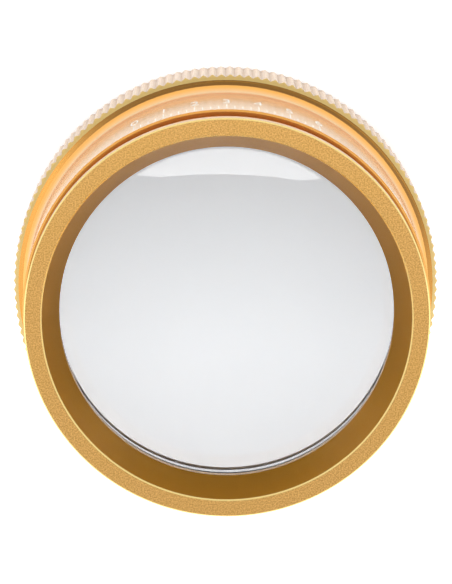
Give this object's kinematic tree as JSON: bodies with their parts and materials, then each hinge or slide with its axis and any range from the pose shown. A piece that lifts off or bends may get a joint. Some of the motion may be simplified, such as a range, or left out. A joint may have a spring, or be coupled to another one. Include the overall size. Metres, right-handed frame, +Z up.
{
  "type": "loupe",
  "caption": "Short round metal focusing loupe: screw-in lens head with conical eye recess, banded barrel and knurled base ring.",
  "frame": {"origin": "centre of the flat face of the base ring, which the loupe stands on", "axes": "+Z up along the optical axis, from the base ring to the eye rim"},
  "size_m": [0.0396, 0.0396, 0.0234],
  "materials": {
    "gold_blasted": "bead-blasted, gold anodised",
    "gold_turned": "satin turned, gold anodised",
    "gold_knurled": "knurled, gold anodised",
    "clear_anodised": "satin, clear anodised",
    "optical_glass": "polished, clear",
    "soft_seal": "matt",
    "spring_wire": "drawn wire",
    "screw_steel": "blackened"
  },
  "bodies": {
    "barrel": {"barrel": "gold_turned", "base_ring": "gold_knurled", "drag_ring": "soft_seal"},
    "stop_ring": {"stop_ring": "spring_wire"},
    "lens_head": {"eye_rim": "gold_blasted", "lens_cell": "gold_turned", "upper_lens": "optical_glass", "lower_lens": "optical_glass", "lens_cushion": "soft_seal", "lens_spacer": "clear_anodised", "lens_retainer": "clear_anodised", "rim_lock_screws": "screw_steel"}
  },
  "joints": [
    {"name": "focus_travel", "type": "slide", "parent": "barrel", "child": "stop_ring", "axis": [0, 0, 1], "range_m": [-0.002, 0.0028]},
    {"name": "focus_turn", "type": "hinge", "parent": "stop_ring", "child": "lens_head", "pos_m": [0, 0, 0.01045], "axis": [0, 0, 1], "range_deg": [-150, 210]}
  ],
  "couplings": [
    {"joint": "focus_turn", "follows": "focus_travel", "rad_per_m": 1309}
  ]
}
